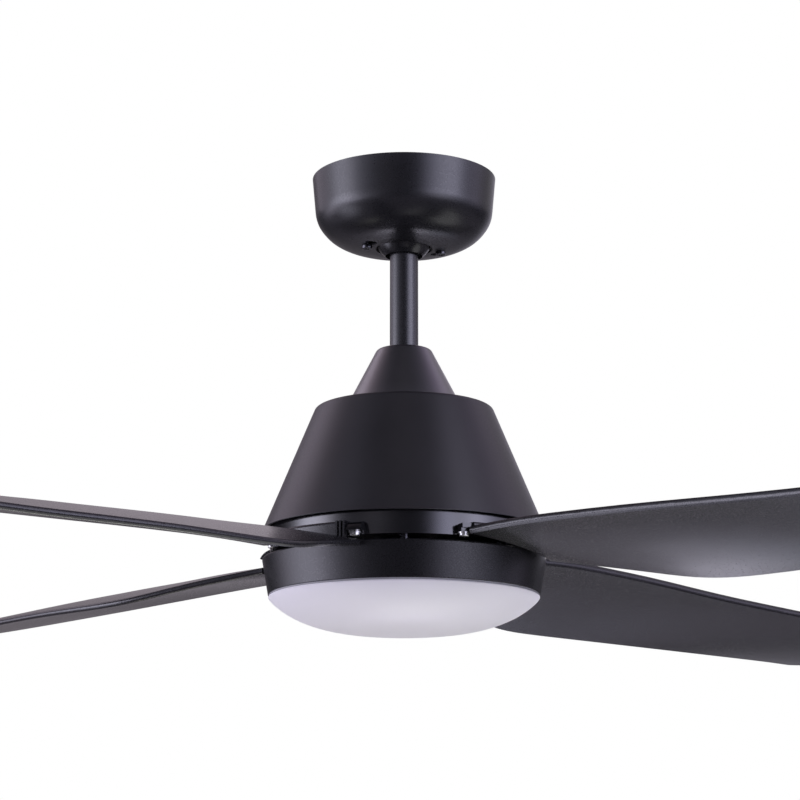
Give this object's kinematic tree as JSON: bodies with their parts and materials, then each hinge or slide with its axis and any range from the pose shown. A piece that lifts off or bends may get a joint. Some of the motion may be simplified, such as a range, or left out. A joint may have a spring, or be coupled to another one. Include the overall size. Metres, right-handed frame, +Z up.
{
  "type": "ceiling fan with light",
  "caption": "Downrod ceiling fan: cup canopy, ball hanger, cone-shaped motor cover, long twisted and cambered moulded blades on a rotating drum, and a shallow opal dish light below.",
  "frame": {"origin": "middle of the ceiling bracket's top face, on the fan's axis, where the bracket meets the ceiling", "axes": "+Z up along the fan's axis towards the ceiling; X along the bracket strap; the blades lie about 45 degrees off X and Y"},
  "size_m": [1.04, 1.04, 0.3455],
  "materials": {
    "zinc_steel": "zinc plated",
    "satin_black": "satin powder coat",
    "gloss_black": "gloss enamel",
    "ball_plastic": "moulded, fine texture",
    "nylon": "natural nylon",
    "terminal_plastic": "moulded",
    "screw_steel": "bright zinc",
    "yoke_casting": "as cast, black",
    "blade_plastic": "moulded, fine sparkle texture",
    "driver_plastic": "moulded",
    "shaft_steel": "ground",
    "bearing_steel": "polished",
    "stator_steel": "laminated",
    "hub_alloy": "die cast",
    "winding": "enamelled copper wire",
    "magnet": "ferrite",
    "tray_white": "white paint",
    "led_board_white": "white solder mask",
    "led_yellow": "phosphor",
    "seal_grey": "matt",
    "opal": "frosted opal acrylic"
  },
  "bodies": {
    "mounting": {"ceiling_bracket": "zinc_steel", "canopy": "satin_black", "canopy_screws": "screw_steel", "terminal_block": "terminal_plastic", "earth_screw": "screw_steel"},
    "ball_seat": {"ball_seat_liner": "nylon"},
    "hanger": {"hanger_ball": "ball_plastic", "ball_cross_pin": "screw_steel", "downrod": "satin_black", "motor_yoke": "yoke_casting", "clevis_pin": "screw_steel", "clevis_clip": "screw_steel", "yoke_set_screws": "screw_steel", "motor_cover": "satin_black", "motor_cover_screws": "screw_steel", "motor_driver": "driver_plastic", "motor_shaft": "shaft_steel", "shaft_retaining_ring": "shaft_steel", "stator_hub": "hub_alloy", "stator_core": "stator_steel", "stator_windings": "winding", "upper_bearing_inner_race": "bearing_steel", "lower_bearing_inner_race": "bearing_steel", "upper_bearing_balls": "bearing_steel", "lower_bearing_balls": "bearing_steel", "shaft_spacer_nut": "zinc_steel", "light_housing": "satin_black", "light_mount_plate": "zinc_steel", "light_mount_screws": "screw_steel", "shaft_lock_nut": "zinc_steel", "led_tray": "tray_white", "led_tray_screws": "screw_steel", "led_board": "led_board_white", "led_chips": "led_yellow", "led_driver": "driver_plastic", "lens_seal": "seal_grey"},
    "rotor": {"rotor_upper_shell": "hub_alloy", "rotor_lower_shell": "hub_alloy", "rotor_shell_screws": "screw_steel", "rotor_back_iron": "stator_steel", "rotor_magnets": "magnet", "upper_bearing_outer_race": "bearing_steel", "lower_bearing_outer_race": "bearing_steel", "blade_carrier": "gloss_black", "carrier_screws": "screw_steel", "blade_1": "blade_plastic", "blade_2": "blade_plastic", "blade_3": "blade_plastic", "blade_4": "blade_plastic", "blade_brackets": "gloss_black", "blade_screws": "screw_steel"},
    "cover": {"coupling_cover": "satin_black"},
    "lens": {"lens_diffuser": "opal"}
  },
  "joints": [
    {"name": "tilt_x", "type": "hinge", "parent": "mounting", "child": "ball_seat", "pos_m": [0, 0, -0.042], "axis": [1, 0, 0], "range_deg": [-15, 15]},
    {"name": "tilt_y", "type": "hinge", "parent": "ball_seat", "child": "hanger", "pos_m": [0, 0, -0.042], "axis": [0, 1, 0], "range_deg": [-15, 15]},
    {"name": "rotor_spin", "type": "hinge", "parent": "hanger", "child": "rotor", "pos_m": [0, 0, -0.26], "axis": [0, 0, 1], "continuous": true},
    {"name": "coupling_cover_slide", "type": "slide", "parent": "hanger", "child": "cover", "axis": [0, 0, 1], "range_m": [0, 0.055]},
    {"name": "lens_twist", "type": "hinge", "parent": "hanger", "child": "lens", "pos_m": [0, 0, -0.318], "axis": [0, 0, 1], "range_deg": [0, 14]}
  ]
}
